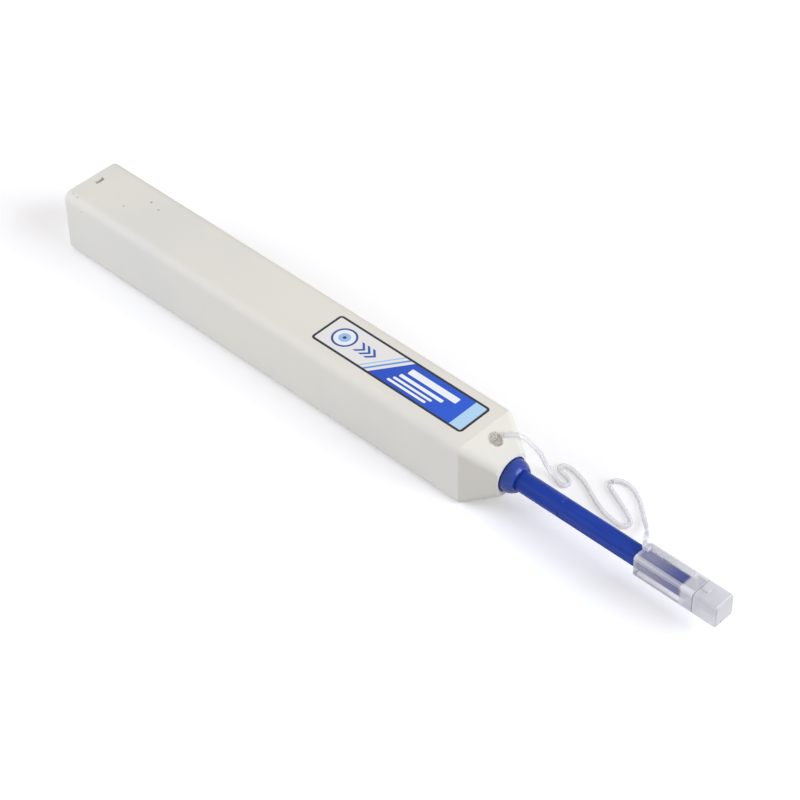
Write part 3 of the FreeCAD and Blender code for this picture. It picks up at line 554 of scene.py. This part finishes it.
# ------------------------------------------------------------------ guide cap and its lid
# A clear cap, slightly milky, on the nozzle's end: it guides the tip onto a bare connector, and
# its lid, on a film hinge, covers that opening.
CAP_REAR, CAP_CENTRE, CAP_JOINT = 78.05, 9.0, 94.15
BORE_END = 90.8         # where the tube's bore ends and the solid front starts
JOINT_HALF = 0.16       # half the joint's width
JOINT_LIGHT = (62, 62, 64)


def light_joint(finish, x):
    """The joint of cap and lid glows faintly through emission: painted light that stands in for light carried through
    the clear walls.  Returns the share that the joint's faces hide."""
    off_joint = abs(x - CAP_JOINT).rise(JOINT_HALF, JOINT_HALF + 0.04)
    finish.feed("Emission Color", finish.blend(off_joint, JOINT_LIGHT, (0, 0, 0)))
    return (1 - off_joint) * 0.3


cap_finish, _, cap_hides = clear_plastic("cap_vinyl", 0.03, 1.5, 0.12, Emission_Strength=1.0)
cap_x, cap_y, cap_z = (millimetres(cap_finish, axis) for axis in range(3))
# the solid front round the ferrule's bore is milky, and so are the walls seen along their depth,
# the hinge's side and the underside; the long edges, the rear rim and the strap's foot most of all
below = CAP_CENTRE - cap_z
off_y, off_z = abs(cap_y), abs(below)
depth = off_y.maths("MINIMUM", off_y, off_z)
solid_front = cap_x.rise(BORE_END - 0.5, BORE_END + 0.5)
matt_side = cap_y.maths("MAXIMUM", cap_y, below).rise(2.1, 2.4)
walls = depth.rise(1.9, 2.3)
long_edges = depth.rise(2.5, 2.8)
rear_rim = 1 - cap_x.rise(CAP_REAR + 0.3, CAP_REAR + 0.7)
rim = depth.maths("MAXIMUM", long_edges, rear_rim)
foot = off_z.rise(3.15, 3.3)
rear_half = 1 - cap_x.rise(80, 90)
haze = (solid_front * 0.6 + matt_side * 0.24 + walls * 0.42 + rim * 0.15 + foot * 0.35
        + rear_half * 0.15)
cap_finish.feed("Alpha", haze + cap_hides + light_joint(cap_finish, cap_x))
# the long edges and the rear rim are also painted lighter: a painted highlight along the cap's edges
cap_finish.feed("Base Color", cap_finish.blend(rim, (218, 217, 223), (228, 227, 233)))
dress(cap_finish, "guide_cap")

LID_MILK = 0.54         # how much more than its film the solid lid hides
LID_SPECK = (100.5, -1.0, 6.8)
lid_finish, lid_cloud, lid_hides = clear_plastic("lid_vinyl", 0.08, 1.2, 0.14, Emission_Strength=1.0)
lid_x = millimetres(lid_finish, 0)
lid_finish.feed("Alpha", lid_hides + light_joint(lid_finish, lid_x) + LID_MILK)
# its end face is painted darker than its sides, a painted shade, and it has a speck of dirt at its lower edge
lid_colour = lid_finish.blend(lid_cloud, (224, 223, 228), (232, 231, 235))
lid_colour = lid_finish.blend(lid_x.rise(100.2, 100.4), lid_colour, (196, 194, 193))
off_speck = away_from(lid_finish, *LID_SPECK).rise(0.12 * MM, 0.26 * MM)
lid_finish.feed("Base Color", lid_finish.blend(off_speck, (52, 50, 50), lid_colour))
dress(lid_finish, "cap_lid")


# ------------------------------------------------------------------ carriage
# The sealed carriage behind the nozzle: side plates, rod bush, spindle, reels and pinion, all
# unfilled acetal, the moving ones a shade greyer.
def acetal(name, deep, light):
    finish = Finish(name, Specular_IOR_Level=0.5)
    finish.feed("Base Color", finish.blend(finish.noise(7), deep, light))
    finish.feed("Roughness", finish.noise(1.5) * 0.12 + 0.3)
    finish.bump(finish.noise(0.2), 0.005, 0.3)
    return finish


dress(acetal("carriage_acetal", (222, 222, 216), (232, 232, 227)),
      "chassis", "chassis_cover", "rod_guide", "drive_rack")
dress(acetal("reel_acetal", (186, 188, 190), (199, 201, 203)),
      "supply_reel", "takeup_reel", "takeup_pinion", "cam_spindle", "head_rod", "cleaning_tip")


# ------------------------------------------------------------------ pins, springs, brake washers
# Turned and drawn steel: the cam pin, the two thread guides and both coil springs.  The washers
# that brake the reels are grey felt.
def drawn_steel(name, deep, light, roughness):
    finish = Finish(name, Metallic=1.0)
    finish.feed("Base Color", finish.blend(finish.noise(2), deep, light))
    finish.feed("Roughness", finish.noise(0.3) * 0.18 + roughness)
    finish.bump(finish.noise(0.08), 0.002, 0.4)
    return finish


dress(drawn_steel("turned_steel", (176, 178, 182), (198, 199, 202), 0.2), "cam_pin", "guide_pins")
wire_finish = drawn_steel("spring_wire", (150, 151, 154), (182, 182, 184), 0.26)
dress(wire_finish, "head_spring")

# the return spring stands between the case's rear wall and the carriage, and closes up between them
SPRING_WIRE = 0.35 * MM
SPRING_TURNS = 8
END_TURN = 0.9          # how much of a turn is wound close at either end
END_PITCH = 2.2 * SPRING_WIRE
TURN_STEPS = 28
spring_low, spring_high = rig.box("return_spring")
spring_middle = (Vector(spring_low) + Vector(spring_high)) / 2
spring_radius = (spring_high[1] - spring_low[1]) / 2 - 2 * SPRING_WIRE
run = spring_high[0] - spring_low[0] - 6 * SPRING_WIRE
spring_points = []
for step in range(SPRING_TURNS * TURN_STEPS + 1):
    share = step / (SPRING_TURNS * TURN_STEPS)
    angle = math.tau * SPRING_TURNS * share
    # the end turns are wound close, and the last one turns back: the pitch opens only between them
    reach = min(max((share * SPRING_TURNS - END_TURN) / (SPRING_TURNS - 2 * END_TURN), 0.0), 1.0)
    flat = END_PITCH * (min(share * SPRING_TURNS, END_TURN)
                        - max((share - 1) * SPRING_TURNS + END_TURN, 0))
    spring_points.append(Vector((spring_low[0] + SPRING_WIRE + reach * run + flat,
                                 spring_middle.y + spring_radius * math.sin(angle),
                                 spring_middle.z - spring_radius * math.cos(angle))))
spring = tube_piece("return_spring_coil", spring_points, SPRING_WIRE, 8)
spring.data.materials.append(wire_finish.material)
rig.replaces(spring, "return_spring")
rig.slot(spring, "spring_steel")
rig.blend(spring, "case", "nozzle", start=(spring_low[0], 0, 0), end=(spring_high[0], 0, 0))

felt_finish = Finish("felt", Sheen_Weight=0.4)
felt_finish.feed("Base Color", felt_finish.blend(felt_finish.noise(0.25, 5.0), (120, 122, 126),
                                                 (168, 170, 174)))
felt_finish.feed("Roughness", felt_finish.noise(0.5) * 0.1 + 0.88)
felt_finish.bump(felt_finish.noise(0.15, 5.0), 0.06, 0.8)
dress(felt_finish, "reel_brakes")


# ------------------------------------------------------------------ cleaning thread
# A flat yarn of split micro-fibres, white when clean.  It is wound in close turns on the reels
# and runs along both sides of the rod and over the tip.
def wound_yarn(name, direction, turn, deep, light):
    """Yarn lying in close turns of the given width along an axis."""
    finish = Finish(name, Sheen_Weight=0.2)
    along = finish.node("ShaderNodeVectorMath", {"operation": "DOT_PRODUCT"},
                        {0: finish.place, 1: direction}, "Value")
    wave = (along * (math.tau / (turn * MM)))
    ridge = wave.maths("SINE", wave) * 0.5 + 0.5
    fibres = finish.noise(0.06, 4.0)
    finish.feed("Base Color", finish.blend(ridge * 0.7 + fibres * 0.3, deep, light))
    finish.feed("Roughness", fibres * 0.1 + 0.8)
    finish.bump(ridge + fibres * 0.4, 0.08, 0.7)
    return finish


dress(wound_yarn("wound_clean", (0.0, 1.0, 0.0), 0.4, (206, 206, 202), (240, 240, 237)),
      "supply_winding", "takeup_winding")
dress(wound_yarn("running_yarn", (0.9, 0.0, 0.44), 0.3, (210, 210, 206), (240, 240, 238)),
      "rod_thread", "thread_feed", "thread_return")

# ------------------------------------------------------------------ table and light
# A white table, white also behind the clear pieces, under two large soft lamps and an even sky.
TABLE_HALF = 0.8
table_mesh = bpy.data.meshes.new("table")
table_sheet = bmesh.new()
bmesh.ops.create_grid(table_sheet, x_segments=1, y_segments=1, size=TABLE_HALF)
table_sheet.to_mesh(table_mesh)
table_sheet.free()
table = bpy.data.objects.new("table", table_mesh)
bpy.context.scene.collection.objects.link(table)
table_finish = Finish("table_white", Roughness=0.95, Specular_IOR_Level=0.1,
                      Emission_Strength=1.0)


def background_share(node):
    """1 for the rays that show the background: the camera's, off gloss and through clear."""
    rays = [node("ShaderNodeLightPath", out=name)
            for name in ("Is Camera Ray", "Is Glossy Ray", "Is Transmission Ray")]
    return rays[0].maths("MINIMUM", rays[0] + rays[1] + rays[2], 1.0)


seen = background_share(table_finish.node)
table_finish.feed("Base Color", table_finish.blend(seen, (214, 214, 214), (255, 255, 255)))
table_finish.feed("Emission Color", table_finish.blend(seen, (0, 0, 0), (97, 97, 97)))
table_mesh.materials.append(table_finish.material)
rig.stage(table)

sky = bpy.data.worlds.new("sky")
bpy.context.scene.world = sky
sky.use_nodes = True
air = Nodes(sky.node_tree)
glow, white = (air.node("ShaderNodeBackground", {}, {"Color": (*srgb(*tint), 1), "Strength": strength})
               for tint, strength in (((255, 243, 224), 0.47), ((255, 255, 255), 1.0)))
both = air.node("ShaderNodeMixShader", {}, {0: background_share(air.node), 1: glow, 2: white})
air.tree.links.new(both.socket, air.tree.nodes["World Output"].inputs["Surface"])


def soft_lamp(name, place, size, power, tint):
    """A square lamp aimed at the pen's middle."""
    data = bpy.data.lights.new(name, "AREA")
    data.shape = "SQUARE"
    data.size = size
    data.energy = power
    data.color = srgb(*tint)
    lamp = bpy.data.objects.new(name, data)
    bpy.context.scene.collection.objects.link(lamp)
    lamp.location = place
    lamp.rotation_euler = (-Vector(place)).to_track_quat("-Z", "Y").to_euler()


soft_lamp("lamp_ahead", (0.8, 0.25, 0.5), 0.7, 9.0, (228, 237, 255))
soft_lamp("lamp_side", (-0.85, -0.55, 0.35), 0.7, 9.75, (220, 231, 255))

final_low, final_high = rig.bounds()
with open("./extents.json", "w") as size_file:
    json.dump({"cad": [list(cad_low), list(cad_high)],
               "visual": [list(final_low), list(final_high)]}, size_file)
